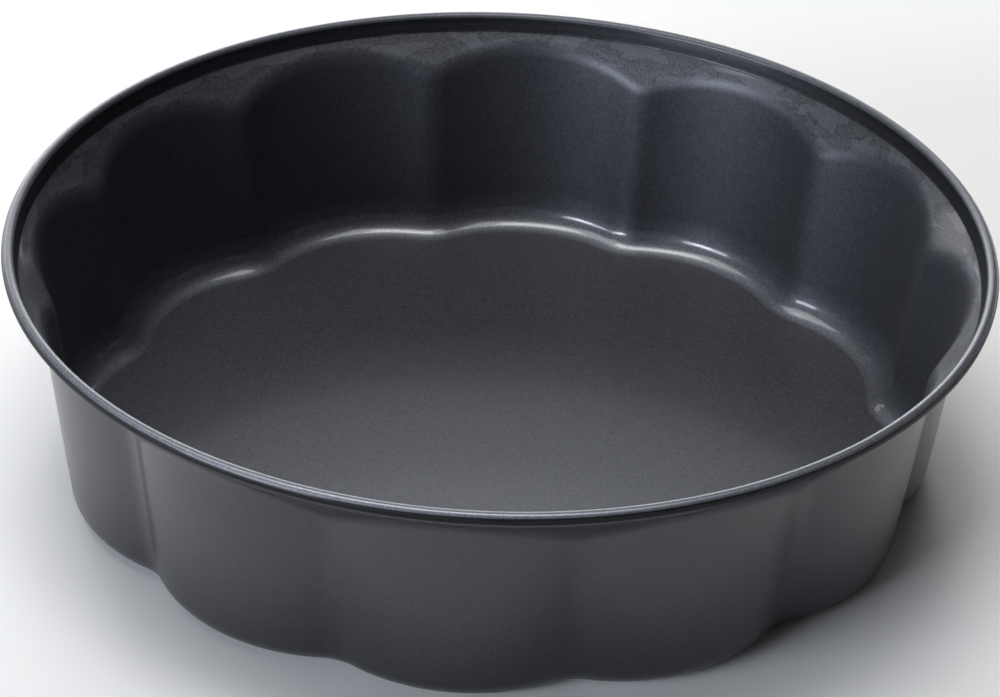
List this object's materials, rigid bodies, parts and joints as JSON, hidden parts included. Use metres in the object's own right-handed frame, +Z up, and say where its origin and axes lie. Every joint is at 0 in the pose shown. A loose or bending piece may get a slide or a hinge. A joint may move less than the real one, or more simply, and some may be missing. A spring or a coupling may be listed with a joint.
{
  "type": "cake tin",
  "caption": "Deep round cake tin of dark coated sheet steel, with a scalloped wall of outward lobes, a flat floor, a sloping shoulder and an outward curled rim.",
  "frame": {"origin": "centre of the flat underside of the floor", "axes": "+Z up along the tin's axis, +X through the crown of one lobe"},
  "size_m": [0.28, 0.28, 0.07],
  "materials": {
    "coated_sheet": "satin dark grey release coating on sheet steel"
  },
  "bodies": {
    "root": {"cake_tin": "coated_sheet"}
  },
  "joints": []
}
